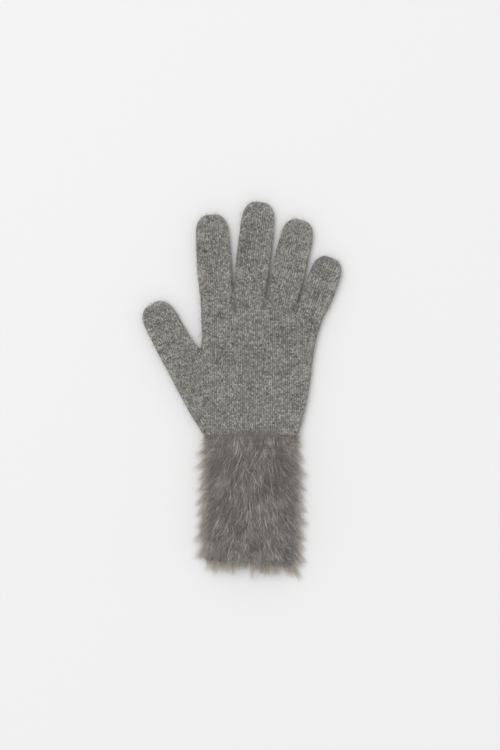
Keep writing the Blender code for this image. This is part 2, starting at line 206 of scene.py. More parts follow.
def stored_value(mesh, name, values):
    """Store one number for each vertex, which the piece's material reads by name."""
    layer = mesh.attributes.new(name, "FLOAT", "POINT")
    layer.data.foreach_set("value", np.asarray(values, dtype=np.float32))


outside = outer_faces(knit_shell.data)
knit_shell.data.materials.clear()
wool = soft_fibre_material(
    "grey_wool",
    (
        (0.0, (0.110, 0.107, 0.098)),
        (1.0, (0.780, 0.755, 0.686)),
        (0.5, (0.374, 0.362, 0.330)),
    ),
    "fleck",
    0.15,
)
# Both slots hold the same wool. The second marks the outside, where the stitches lie.
for slot in range(2):
    knit_shell.data.materials.append(wool)
for face in knit_shell.data.polygons:
    face.material_index = 1 if face.index in outside else 0
rounded = knit_shell.modifiers.new("rounded", "SUBSURF")
rounded.levels = rounded.render_levels = 1
bpy.ops.object.modifier_apply(modifier="rounded")
for vert in knit_shell.data.vertices:
    across = Vector((vert.co.x, vert.co.y, 0)) / UNEVEN_SPAN
    vert.co.z += UNEVEN * noise.noise(across) * min(1, vert.co.z / HAND_HEIGHT)
    vert.co.z = max(vert.co.z, LOWEST_CLOTH)
pressed = []
for vert in knit_shell.data.vertices:
    out = Vector((vert.normal.x, vert.normal.y, 0))
    if out.length < 0.5 or vert.co.y < 0:
        continue
    out.normalize()
    met, place, _, _ = knit_shell.ray_cast(vert.co + out * 0.0001, out, distance=CREASE)
    if met:
        pressed.append((vert.index, (place - vert.co) * 0.47))
for index, move in pressed:
    knit_shell.data.vertices[index].co += move
knit_shell.data.shade_smooth()
# The whole shell, inside too, is painted dark: painted shade between and under the stitches.
stored_value(knit_shell.data, "fleck", [STITCH_GAP_SHADE] * len(knit_shell.data.vertices))
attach(knit_shell, "root")
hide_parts("knit_hand")


# Jersey stitches. Each stitch is a V of two yarn legs, and the Vs stand in columns: up the hand
# on the palm, and along each finger and the thumb on those. The yarn is flecked, and its light
# and dark runs follow the rows. Both sides of the hand are knitted alike.
WALE = 0.00164
COURSE = 0.00118
LEG_LENGTH = 1.62
LEG_WIDTH = 0.60
LEG_RISE = 0.00034
LEG_SPLAY = 0.36
LEG_SET = 0.195
WRIST_LIFT = 0.0008
WRIST_LIFT_SPAN = 0.03
LEVEL_WITHIN = 0.0008

# The yarn's lightness, and how much its runs, its patches, a stitch and a leg change it.
YARN_TONE = 0.54
RUN_TONE = 0.14
PATCH_TONE = 0.18
STITCH_TONE = 0.15
LEG_TONE = 0.17

# Where the columns run. at is a point on the middle line and lean its angle from +Y, in degrees.
FINGER_LINES = (
    {"name": "index", "at": (-0.0267, 0.0533), "lean": -3.3},
    {"name": "middle", "at": (-0.0021, 0.0502), "lean": 6.5},
    {"name": "ring", "at": (0.0219, 0.0474), "lean": 13.4},
    {"name": "little", "at": (0.0444, 0.0421), "lean": 21.6},
)
THUMB_LINE = {"name": "thumb", "at": (-0.0520, 0.0140), "lean": -28.0}
PALM_LINE = {"name": "palm", "at": (0.0, 0.0), "lean": 0.0}
BASE_LINE = ((-0.0392, 0.0548), (0.0547, 0.0381))
THUMB_FOOT = ((-0.0357, -0.0513), (-0.0372, 0.0150))
OVER_THUMB_FOOT = 0.004
BESIDE_THUMB_FOOT = 0.006


def line_frame(line):
    """A point on a line, the way along it and the way to its right, in the plan."""
    angle = math.radians(line["lean"])
    along = np.array((math.sin(angle), math.cos(angle)))
    return np.array(line["at"]), along, np.array((along[1], -along[0]))


def side_of(point, line):
    """Above 0 when point lies to the left of the line from its first end to its second."""
    (ax, ay), (bx, by) = line
    return (bx - ax) * (point[1] - ay) - (by - ay) * (point[0] - ax)


def knitted_with(point):
    """The line that the columns at this point of the plan run along."""
    if side_of(point, BASE_LINE) > 0:
        def away(line):
            at, along, right = line_frame(line)
            return abs(np.dot(np.array(point) - at, right))
        return min(FINGER_LINES, key=away)
    if point[1] < THUMB_FOOT[1][1] + OVER_THUMB_FOOT and side_of(point, THUMB_FOOT) > 0:
        return THUMB_LINE
    if point[0] < THUMB_FOOT[1][0] - BESIDE_THUMB_FOOT:
        return THUMB_LINE
    return PALM_LINE


def unrolled(points, normals, line, upper):
    """Columns and rows of points on the cloth: their place in the plan, run on down the sides."""
    at, along, right = line_frame(line)
    plan = points[:, :2] - at
    lift = WRIST_LIFT * (1 - np.clip((points[:, 1] - WRIST_Y) / WRIST_LIFT_SPAN, 0, 1)) ** 2
    fall = (HAND_HEIGHT + lift - points[:, 2]) if upper else (points[:, 2] - lift)
    fall = np.clip(fall - LEVEL_WITHIN, 0, None)
    level = np.stack((normals[:, :2] @ right, normals[:, :2] @ along), axis=1)
    size = np.linalg.norm(level, axis=1, keepdims=True)
    level = level / np.maximum(size, 1e-6)
    column = plan @ right + fall * level[:, 0]
    row = plan @ along + fall * level[:, 1]
    return np.stack((column / WALE, row / COURSE), axis=1)


def stitch_places(mesh, upper):
    """Place, normal, column direction, column and row of every stitch on one side of the hand."""
    mesh.calc_loop_triangles()
    coords = np.empty(len(mesh.vertices) * 3, np.float32)
    mesh.vertices.foreach_get("co", coords)
    coords = coords.reshape(-1, 3).astype(float)
    turned = np.empty(len(mesh.vertices) * 3, np.float32)
    mesh.vertices.foreach_get("normal", turned)
    turned = turned.reshape(-1, 3).astype(float)
    places = []
    for triangle in mesh.loop_triangles:
        if triangle.material_index != 1:
            continue
        corners = list(triangle.vertices)
        points, normals = coords[corners], turned[corners]
        middle = points.mean(axis=0)
        if (normals.mean(axis=0)[2] > 0) != upper:
            continue
        line = knitted_with(middle[:2])
        cells = unrolled(points, normals, line, upper)
        low = np.ceil(cells.min(axis=0) - 0.5).astype(int)
        high = np.floor(cells.max(axis=0) - 0.5).astype(int)
        if (high < low).any():
            continue
        edges = np.array((cells[1] - cells[0], cells[2] - cells[0])).T
        area = np.linalg.det(edges)
        if abs(area) < 1e-9:
            continue
        inverse = np.linalg.inv(edges)
        up_row = inverse @ np.array((0.0, 1.0))
        rise = up_row[0] * (points[1] - points[0]) + up_row[1] * (points[2] - points[0])
        for column in range(low[0], high[0] + 1):
            for row in range(low[1], high[1] + 1):
                b, c = inverse @ (np.array((column + 0.5, row + 0.5)) - cells[0])
                if b < 0 or c < 0 or b + c > 1:
                    continue
                weights = np.array((1 - b - c, b, c))
                places.append((weights @ points, weights @ normals, rise, column, row, line["name"]))
    return places


def fleck_of(column, row, line, rng):
    """Lightness of the yarn, 0 to 1: long runs along the row, short ones, and single fibres."""
    seed = len(line) * 7.3
    run = noise.noise(Vector((column * 0.26, row * 0.9, seed)))
    patch = noise.noise(Vector((column * 0.10, row * 0.20, seed + 40)))
    return YARN_TONE + RUN_TONE * run + PATCH_TONE * patch + rng.gauss(0, STITCH_TONE)


def knit(name, upper, seed):
    """All the yarn legs of one side of the hand: closed four-faced spindles, ridge upwards, with
    their under side sunk in the cloth."""
    rng = random.Random(seed)
    corners, fleck = [], []
    for place, normal, rise, column, row, line in stitch_places(knit_shell.data, upper):
        normal = Vector(normal).normalized()
        up = Vector(rise)
        up = (up - normal * up.dot(normal)).normalized()
        across = up.cross(normal)
        shade = fleck_of(column, row, line, rng)
        for side in (-1, 1):
            wander = rng.uniform(-0.05, 0.05)
            run = (up + across * (side * LEG_SPLAY + wander)).normalized()
            wide = normal.cross(run)
            middle = Vector(place) + across * (side * WALE * LEG_SET)
            middle += up * (rng.uniform(-0.05, 0.05) * COURSE)
            half = run * (COURSE * LEG_LENGTH * rng.uniform(0.46, 0.54))
            reach = wide * (WALE * LEG_WIDTH * rng.uniform(0.45, 0.55))
            high = normal * (LEG_RISE * rng.uniform(0.8, 1.2))
            corners += [
                middle - half + high * 0.25,
                middle + half + high * 0.80,
                middle + reach - high * 0.15,
                middle - reach - high * 0.15,
            ]
            fleck += [min(1, max(0, shade + rng.gauss(0, LEG_TONE)))] * 4
    corners = [(c.x, c.y, max(c.z, 0.0001)) for c in corners]
    faces = []
    spindle = ((0, 1, 2), (0, 3, 1), (0, 2, 3), (1, 3, 2))
    for first in range(0, len(corners), 4):
        faces += [(first + a, first + b, first + c) for a, b, c in spindle]
    mesh = bpy.data.meshes.new(name)
    mesh.from_pydata(corners, [], faces)
    mesh.shade_smooth()
    mesh.materials.append(wool)
    stored_value(mesh, "fleck", fleck)
    piece = bpy.data.objects.new(name, mesh)
    scene.collection.objects.link(piece)
    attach(piece, "root")


knit("knit_upper_side", True, 11)
knit("knit_under_side", False, 12)


# Fuzz of the knit. Loose wool fibres stand up from the jersey and soften its edges. They are
# single tapered hairs, thickest just above where they leave the cloth, and lean any way.
FUZZ_COUNT = 6500
FUZZ_LENGTH = 0.0017
FUZZ_WIDTH = 0.00012
STEEP_WEIGHT = 3.0
FLAT_WEIGHT = 0.45

# How thick a hair is at three places from its root to its tip, how low it may bend, and how
# late it turns towards the tuft that it is drawn into.
TAPER_PLACES = (0, 0.4, 1)
TAPER_SHARES = (0.9, 1.0, 0.3)
LOWEST_BEND = 0.00025
LOWEST_HAIR = 0.00008
GATHER_POWER = 1.6


def hairs(name, material, roots, heading, length, rise, droop, curl, width, tone,
          pull=None, gather=0.6, steps=2):
    """Tapered three-sided hairs. heading is the angle off -Y towards +X, rise and droop are
    shares of the length, curl turns the heading, and tone is the colour at root and tip. pull
    is where the tips are drawn to, gather how far they go there, and steps the straight parts."""
    count = len(roots)
    gather = np.broadcast_to(gather, (count,))
    points = np.zeros((count, steps + 1, 3))
    points[:, 0] = roots
    for i in range(1, steps + 1):
        angle = heading + curl * (i - 0.5) / steps
        points[:, i, 0] = points[:, i - 1, 0] + np.sin(angle) * length / steps
        points[:, i, 1] = points[:, i - 1, 1] - np.cos(angle) * length / steps
        t = i / steps
        points[:, i, 2] = roots[:, 2] + length * (rise * t - droop * t * t)
    if pull is not None:
        share = (np.arange(steps + 1) / steps) ** GATHER_POWER
        points += (pull - points[:, -1])[:, None, :] * share[None, :, None] * gather[:, None, None]
    points[:, :, 2] = np.maximum(points[:, :, 2], LOWEST_BEND)
    run = points[:, 1:] - points[:, :-1]
    run = np.concatenate((run, run[:, -1:]), axis=1)
    run /= np.maximum(np.linalg.norm(run, axis=2, keepdims=True), 1e-9)
    side = np.stack((-run[:, :, 1], run[:, :, 0], np.zeros(run.shape[:2])), axis=2)
    side /= np.maximum(np.linalg.norm(side, axis=2, keepdims=True), 1e-9)
    over = np.cross(run, side)
    over *= np.sign(over[:, :, 2:3] + 1e-9)
    taper = np.interp(np.arange(steps) / steps, TAPER_PLACES, TAPER_SHARES)
    thick = width[:, None, None] * taper[None, :, None]
    corners = np.zeros((count, steps * 3 + 1, 3))
    for k in range(steps):
        middle = points[:, k]
        w = thick[:, k]
        corners[:, k * 3] = middle - side[:, k] * w * 0.5 - over[:, k] * w * 0.25
        corners[:, k * 3 + 1] = middle + side[:, k] * w * 0.5 - over[:, k] * w * 0.25
        corners[:, k * 3 + 2] = middle + over[:, k] * w * 0.5
    corners[:, -1] = points[:, -1]
    corners[:, :, 2] = np.maximum(corners[:, :, 2], LOWEST_HAIR)
    faces = [(0, 1, 2)]
    for k in range(steps - 1):
        for a, b in ((0, 1), (1, 2), (2, 0)):
            faces.append((k * 3 + a, k * 3 + 3 + a, k * 3 + b))
            faces.append((k * 3 + b, k * 3 + 3 + a, k * 3 + 3 + b))
    last = (steps - 1) * 3
    for a, b in ((0, 1), (1, 2), (2, 0)):
        faces.append((last + a, last + 3, last + b))
    faces = np.array(faces)
    corner_count = steps * 3 + 1
    index = (faces[None] + np.arange(count)[:, None, None] * corner_count).reshape(-1)
    mesh = bpy.data.meshes.new(name)
    mesh.vertices.add(count * corner_count)
    mesh.vertices.foreach_set("co", corners.reshape(-1).astype(np.float32))
    mesh.loops.add(len(index))
    mesh.loops.foreach_set("vertex_index", index.astype(np.int32))
    mesh.polygons.add(len(index) // 3)
    mesh.polygons.foreach_set("loop_start", np.arange(0, len(index), 3, dtype=np.int32))
    mesh.update(calc_edges=True)
    mesh.shade_smooth()
    mesh.materials.append(material)
    along = np.concatenate((np.repeat(np.arange(steps) / steps, 3), (1.0,)))
    values = tone[0][:, None] + (tone[1] - tone[0])[:, None] * along[None, :]
    stored_value(mesh, "fleck", np.clip(values, 0, 1).reshape(-1))
    piece = bpy.data.objects.new(name, mesh)
    scene.collection.objects.link(piece)
    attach(piece, "root")
    return piece


chance = np.random.default_rng(21)
cloth_points, cloth_normals, weights = [], [], []
for face in knit_shell.data.polygons:
    if face.material_index == 1:
        cloth_points.append(tuple(face.center))
        cloth_normals.append(tuple(face.normal))
        weights.append(face.area * (STEEP_WEIGHT if abs(face.normal.z) < 0.75 else FLAT_WEIGHT))
cloth_points, cloth_normals = np.array(cloth_points), np.array(cloth_normals)
weights = np.array(weights) / np.sum(weights)
picked = chance.choice(len(cloth_points), FUZZ_COUNT, p=weights)
fuzz_roots = cloth_points[picked] + chance.normal(0, 0.0009, (FUZZ_COUNT, 3)) * (1, 1, 0.2)
sideways = cloth_normals[picked]
off_the_cloth = np.arctan2(sideways[:, 0], -sideways[:, 1])
level = np.abs(sideways[:, 2])
fuzz_heading = np.where(
    level < 0.85,
    off_the_cloth + chance.normal(0, 0.9, FUZZ_COUNT),
    chance.uniform(-math.pi, math.pi, FUZZ_COUNT),
)
fuzz = hairs(
    "knit_fuzz",
    wool,
    fuzz_roots,
    fuzz_heading,
    FUZZ_LENGTH * chance.uniform(0.5, 1.5, FUZZ_COUNT),
    sideways[:, 2] * 0.75 + 0.1,
    np.full(FUZZ_COUNT, 0.35),
    chance.normal(0, 1.1, FUZZ_COUNT),
    FUZZ_WIDTH * chance.uniform(0.7, 1.3, FUZZ_COUNT),
    (chance.uniform(0.20, 0.70, FUZZ_COUNT), chance.uniform(0.35, 0.85, FUZZ_COUNT)),
)


# Fur cuff: the backing. A tube of soft backing, open at the wrist and at the hem, with the
# dense dark underfur that hides it. The long hair stands on this form.
CUFF_TOP = -0.05155
CUFF_LENGTH = 0.0934
HEM_SLANT = 0.0038
CUFF_HALF_WIDTH = 0.0324
WRIST_HALF_WIDTH = 0.0336
BACK_LOW = 0.0008
BACK_HIGH = 0.0108
BACKING = 0.0014
RING_CORNERS = 96

# The underfur's outside from the wrist to the hem: a share along the cuff, how far it swells
# to the sides and upwards, and how high its under side is.
UNDERFUR = (
    {"along": 0.000, "side": -0.0004, "top": 0.0004, "low": 0.0010},
    {"along": 0.060, "side": -0.0006, "top": 0.0030, "low": 0.0009},
    {"along": 0.160, "side": -0.0004, "top": 0.0050, "low": 0.0009},
    {"along": 0.330, "side": 0.0002, "top": 0.0056, "low": 0.0009},
    {"along": 0.520, "side": 0.0004, "top": 0.0055, "low": 0.0009},
    {"along": 0.710, "side": 0.0005, "top": 0.0054, "low": 0.0009},
    {"along": 0.880, "side": 0.0002, "top": 0.0046, "low": 0.0009},
    {"along": 1.000, "side": -0.0004, "top": 0.0014, "low": 0.0010},
)


def smoothly(t):
    """0 to 1 with a soft start and end."""
    t = min(max(t, 0.0), 1.0)
    return t * t * (3 - 2 * t)


def cuff_half_width(along):
    """Half the tube's width at a share along the cuff."""
    return WRIST_HALF_WIDTH + (CUFF_HALF_WIDTH - WRIST_HALF_WIDTH) * smoothly(along / 0.15)


def cuff_ring(half, low, high, along, crown, belly):
    """One ring of the tube: a flattened oval from low to high."""
    points = []
    for i in range(RING_CORNERS):
        angle = 2 * math.pi * i / RING_CORNERS
        c, s = math.cos(angle), math.sin(angle)
        x = half * math.copysign(abs(c) ** 0.75, c)
        rise = math.copysign(abs(s) ** (crown if s > 0 else belly), s)
        y = CUFF_TOP - along * (CUFF_LENGTH + HEM_SLANT * (x / (2 * CUFF_HALF_WIDTH) + 0.5))
        points.append((x, y, (low + high) / 2 + (high - low) / 2 * rise))
    return points


def underfur_at(along):
    """Side, top and low of the underfur at a share along the cuff."""
    keys = [row["along"] for row in UNDERFUR]
    return [np.interp(along, keys, [row[name] for row in UNDERFUR]) for name in ("side", "top", "low")]


tube = []
for i in range(33):
    along = i / 32
    side, top, low = underfur_at(along)
    tube.append(cuff_ring(cuff_half_width(along) + side, low, BACK_HIGH + top, along, 0.62, 0.22))
for i in range(16, -1, -1):
    along = i / 16
    half = cuff_half_width(along) - BACKING
    tube.append(cuff_ring(half, BACK_LOW + BACKING, BACK_HIGH - BACKING, along, 0.26, 0.26))
tube_points = [point for points in tube for point in points]
tube_faces = []
for level in range(len(tube)):
    after = (level + 1) % len(tube)
    for i in range(RING_CORNERS):
        j = (i + 1) % RING_CORNERS
        tube_faces.append((
            level * RING_CORNERS + i,
            after * RING_CORNERS + i,
            after * RING_CORNERS + j,
            level * RING_CORNERS + j,
        ))
backing_mesh = bpy.data.meshes.new("cuff_backing")
backing_mesh.from_pydata(tube_points, [], tube_faces)
backing = bpy.data.objects.new("cuff_backing", backing_mesh)
scene.collection.objects.link(backing)
bpy.ops.object.select_all(action="DESELECT")
bpy.context.view_layer.objects.active = backing
backing.select_set(True)
bpy.ops.object.mode_set(mode="EDIT")
bpy.ops.mesh.select_all(action="SELECT")
bpy.ops.mesh.normals_make_consistent(inside=False)
bpy.ops.object.mode_set(mode="OBJECT")
backing_mesh.shade_smooth()
underfur = soft_fibre_material(
    "grey_underfur",
    (
        (0.0, (0.080, 0.073, 0.066)),
        (1.0, (0.230, 0.212, 0.194)),
    ),
    "fleck",
    0.1,
)
backing_mesh.materials.append(underfur)
stored_value(backing_mesh, "fleck", [
    0.5 + 0.5 * noise.noise(Vector((x * 900, y * 260, z * 600))) for x, y, z in tube_points
])
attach(backing, "root")
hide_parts("fur_cuff")


# Fur cuff: the pile. Long grey-brown hair with paler tips, sewn in with its backing and combed
# towards the hem. It fans out to both sides and gathers in pointed clumps with dark partings,
# longer guard hairs stand over it, and its outer hair is drawn into tufts along the sides.
CLUMP_SPACING = 0.0034
PILE_HAIRS = 28000
GUARD_SHARE = 0.24
PALE_SHARE = 0.12
DARK_SHARE = 0.22
PILE_LENGTH = 0.0230
HAIR_WIDTH = 0.00042
SIDE_FAN = 42
FAN_HALF_WIDTH = 0.0370
SWIRL_TURN = 26
HEADING_WANDER = 24
CROWN_POWER = 2.7
SHORTEST_HAIR = 0.004
PAST_HEM = 0.0026
PAST_SIDE = 0.0012
# Where the painted light on hair past the sides and the hem begins, and over what width it grows.
EDGE_FROM = 0.0300
EDGE_SPAN = 0.0070
HEM_EDGE_SPAN = 0.0060

# Tones from 0 for the darkest root to 1 for the palest tip, and what pale hair, dark hair and hair past
# the edge add to them. What hair past the edge gets is painted light: the same hair is made paler where it
# reaches out over the bright table.
ROOT_TONE = 0.22
TIP_TONE = 0.525
PALE_ROOT = 0.30
PALE_TIP = 0.22
DARK_TIP = -0.28
EDGE_LIGHT_ROOT = 0.20
EDGE_LIGHT_TIP = 0.42

# Tufts along the sides: how far they reach past the backing, how far apart they are, and where
# the first one starts and the last one ends. The last two say which pile hair is drawn in.
TUFT_REACH = (0.0098, 0.0134)
TUFT_SPACING = (0.0075, 0.0125)
FIRST_TUFT = 0.0065
LAST_TUFT = 0.0060
TUFTED_FROM = 0.84
TUFTED_SHARE = 0.36

fur = soft_fibre_material(
    "grey_fur",
    (
        (0.0, (0.075, 0.068, 0.062)),
        (1.0, (0.760, 0.710, 0.655)),
        (0.5, (0.296, 0.271, 0.246)),
    ),
    "fleck",
    0.25,
)
# The thin fringe hair is beige and paler than the pile: partly its own colour, partly painted light on
# thin hair out over the table.
fringe_fur_and_light = soft_fibre_material(
    "beige_fringe_and_light",
    (
        (0.0, (0.190, 0.160, 0.130)),
        (1.0, (0.900, 0.850, 0.770)),
        (0.5, (0.600, 0.535, 0.455)),
    ),
    "fleck",
    0.25,
)


def top_of_underfur(along, across):
    """Height of the underfur's upper side at a share along the cuff and a share across it."""
    top = underfur_at(along)[1]
    middle = (BACK_HIGH + top) / 2
    inside = np.clip(np.abs(across), 0, 1)
    past = np.clip(np.abs(across) - 1, 0, None)
    return middle + middle * (1 - inside**CROWN_POWER) ** 0.5 - past * CUFF_HALF_WIDTH


def fur_height(x, y):
    """Height of the underfur's upper side at a place in the plan."""
    across = x / (CUFF_HALF_WIDTH + 0.0005)
    along = (CUFF_TOP - y) / (CUFF_LENGTH + HEM_SLANT * (np.clip(across, -1, 1) / 2 + 0.5))
    past = np.clip(along - 1, 0, None)
    return top_of_underfur(np.clip(along, 0, 1), across) - past * CUFF_LENGTH * 0.6


def combed(x, y, rng):
    """Heading of the hair at a place in the plan: fanning to the sides, with slow swirls."""
    across = np.clip(x / FAN_HALF_WIDTH, -1, 1)
    swirl = np.array([noise.noise(Vector((a * 75, b * 45, 5.5))) for a, b in zip(x, y)])
    fan = SIDE_FAN * across * np.abs(across) ** 0.2
    wander = rng.normal(0, 1, len(x)) * HEADING_WANDER * 0.5
    return np.radians(fan + SWIRL_TURN * swirl * (1 - across**2) + wander)


def nearest(points, centres):
    """Index of the nearest centre for each point, found in slices to spare memory."""
    found = np.empty(len(points), int)
    for first in range(0, len(points), 4000):
        part = points[first:first + 4000]
        apart = ((part[:, None, :2] - centres[None, :, :2]) ** 2).sum(axis=2)
        found[first:first + 4000] = apart.argmin(axis=1)
    return found


def clumped(roots, heading, length, spacing, rng):
    """Where each hair's clump comes to its point."""
    low, high = roots[:, :2].min(axis=0), roots[:, :2].max(axis=0)
    count = max(4, int(np.prod(high - low) / spacing**2))
    chosen = rng.choice(len(roots), min(count, len(roots)), replace=False)
    centres = roots[chosen]
    reach = length[chosen] * rng.uniform(0.80, 1.15, len(chosen))
    lean = heading[chosen] + rng.normal(0, 0.10, len(chosen))
    tips = centres.copy()
    tips[:, 0] += np.sin(lean) * reach
    tips[:, 1] -= np.cos(lean) * reach
    tips[:, 2] += rng.uniform(-0.0010, 0.0016, len(chosen))
    mine = nearest(roots, centres)
    return tips[mine], rng.normal(0, 0.10, len(chosen))[mine]


def side_tufts(sign, rng):
    """Where the tufts along one side come to their points, from the wrist to the hem."""
    points = []
    y = CUFF_TOP - FIRST_TUFT
    while y > CUFF_TOP - CUFF_LENGTH - LAST_TUFT:
        out = CUFF_HALF_WIDTH + rng.uniform(*TUFT_REACH) * (1 if points else 0.75)
        points.append((sign * out, y, rng.uniform(0.0010, 0.0042)))
        y -= rng.uniform(*TUFT_SPACING)
    return np.array(points)


def into_tufts(roots, heading, length, points, share, rng):
    """Ends of hairs that run towards the tuft next to them and stop at a share of the way."""
    end_y = roots[:, 1] - np.cos(heading) * length
    mine = np.abs(end_y[:, None] - points[None, :, 1]).argmin(axis=1)
    spread = rng.normal(0, 1, (len(roots), 3)) * (0.0007, 0.0012, 0.0004)
    return roots + (points[mine] + spread - roots) * share[:, None]


tufts = {sign: side_tufts(sign, np.random.default_rng(61 + sign)) for sign in (-1, 1)}
chance = np.random.default_rng(7)
along = chance.uniform(-0.025, 0.98, PILE_HAIRS)
across = chance.uniform(-0.98, 0.98, PILE_HAIRS)
half = np.array([cuff_half_width(a) for a in along]) + underfur_at(along)[0]
hem_y = CUFF_TOP - CUFF_LENGTH - HEM_SLANT * (across / 2 + 0.5)
pile_roots = np.stack((
    across * half,
    CUFF_TOP - along * (CUFF_LENGTH + HEM_SLANT * (across / 2 + 0.5)),
    top_of_underfur(along, across) - 0.0006,
), axis=1)
heading = combed(pile_roots[:, 0], pile_roots[:, 1], chance)
grown = np.interp(along, (0.0, 0.10, 0.3, 1.0), (0.55, 0.85, 1.0, 0.92)) * (1 - 0.50 * np.abs(across) ** 3)
length = PILE_LENGTH * grown * chance.uniform(0.60, 1.15, PILE_HAIRS)
past_hem = np.clip(chance.exponential(PAST_HEM, PILE_HAIRS), 0, 0.009) - 0.0004
length = np.maximum(np.minimum(length, pile_roots[:, 1] - hem_y + past_hem), SHORTEST_HAIR)
past_side = half - 0.0008 + np.clip(chance.exponential(PAST_SIDE, PILE_HAIRS), 0, 0.006)
sideways = np.abs(np.sin(heading)).clip(0.12, 1)
length = np.minimum(length, np.clip((past_side - np.abs(pile_roots[:, 0])) / sideways, 0.0035, 1))
pull, clump_tone = clumped(pile_roots, heading, length, CLUMP_SPACING, chance)
pull[:, 2] = fur_height(pull[:, 0], pull[:, 1]) + chance.normal(0.0011, 0.0009, PILE_HAIRS)
root_tone = chance.normal(ROOT_TONE, 0.08, PILE_HAIRS)
shadowed = np.array([noise.noise(Vector((x * 150, y * 80, 9.5))) for x, y, _ in pile_roots])
tip_tone = chance.normal(TIP_TONE, 0.13, PILE_HAIRS) + clump_tone + 0.20 * shadowed
root_tone += 0.10 * shadowed
pale = chance.random(PILE_HAIRS) < PALE_SHARE
tip_tone[pale] += PALE_TIP
root_tone[pale] += PALE_ROOT
dark = chance.random(PILE_HAIRS) < DARK_SHARE
tip_tone[dark] += DARK_TIP
tip_x = pile_roots[:, 0] + np.sin(heading) * length
tip_y = pile_roots[:, 1] - np.cos(heading) * length
# Hair that reaches past the sides and the hem is painted paler at root and tip: painted light on thin hair
# out over the table.
edge_light = np.clip((np.abs(tip_x) - EDGE_FROM) / EDGE_SPAN, 0, 1)
edge_light += np.clip((hem_y + 0.0012 - tip_y) / HEM_EDGE_SPAN, 0, 1)
tip_tone += EDGE_LIGHT_TIP * edge_light
root_tone += EDGE_LIGHT_ROOT * edge_light
droop = np.where(pale, 0.30, 0.22)
tip_z = fur_height(tip_x, tip_y) + chance.normal(0.0010, 0.0010, PILE_HAIRS) + 0.0010 * pale
rise = droop + (tip_z - pile_roots[:, 2]) / length
curl = chance.normal(0, 0.55, PILE_HAIRS) - 0.20 * across
width = HAIR_WIDTH * chance.uniform(0.55, 1.35, PILE_HAIRS)
gather = chance.uniform(0.05, 0.75, PILE_HAIRS)
for sign in (-1, 1):
    drawn = chance.random(PILE_HAIRS) < TUFTED_SHARE
    outer = (sign * across > TUFTED_FROM) & (along > 0.03) & drawn
    share = chance.uniform(0.25, 0.80, outer.sum())
    pull[outer] = into_tufts(
        pile_roots[outer], heading[outer], length[outer] + 0.006, tufts[sign], share, chance,
    )
    gather[outer] = chance.uniform(0.5, 0.95, outer.sum())
guard = chance.random(PILE_HAIRS) < GUARD_SHARE * (length / length.mean()) ** 2
belts = ((-1.0, 0.28), (0.28, 0.59), (0.59, 1.0))
for number, (first, last) in enumerate(belts, 1):
    here = (along >= first) & (along < last) & ~guard
    pile = hairs(
        "fur_pile_%d" % number, fur, pile_roots[here], heading[here], length[here], rise[here],
        droop[here], curl[here], width[here], (root_tone[here], tip_tone[here]), pull[here],
        gather[here],
    )
guard_hairs = hairs(
    "fur_guard_hairs", fur, pile_roots[guard], heading[guard], length[guard], rise[guard] + 0.04,
    droop[guard], curl[guard] * 1.4, width[guard] * 1.12, (root_tone[guard], tip_tone[guard] + 0.02),
    pull[guard] + (0, 0, 0.0009), gather[guard], 3,
)


# Fur cuff: the sides. Short dense hair covers the turn of the tube, and thin paler hair grows out
# of it over the table in loose pointed tufts, so that the outline is ragged and half open.
SIDE_HAIRS = 950
SIDE_LENGTH = 0.0100
SIDE_CLUMPS = 0.0020
FRINGE_HAIRS = 1000
FRINGE_LENGTH = 0.0220
SIDE_HEIGHTS = (0.0010, 0.0118)
TURN_MIDDLE = 0.006
TURN_HALF = 0.0065
TURN_INSET = 0.0024


def side_roots(sign, count, rng):
    """Places up and down one side of the tube, from near the table to the shoulder."""
    along = rng.uniform(0.01, 0.95, count)
    half = np.array([cuff_half_width(a) for a in along]) + underfur_at(along)[0]
    lift = rng.uniform(*SIDE_HEIGHTS, count)
    inset = TURN_INSET * ((lift - TURN_MIDDLE) / TURN_HALF) ** 2
    x = sign * (half - inset - 0.0008)
    y = CUFF_TOP - along * (CUFF_LENGTH + HEM_SLANT * (sign / 2 + 0.5))
    return along, np.stack((x, y, lift), axis=1)


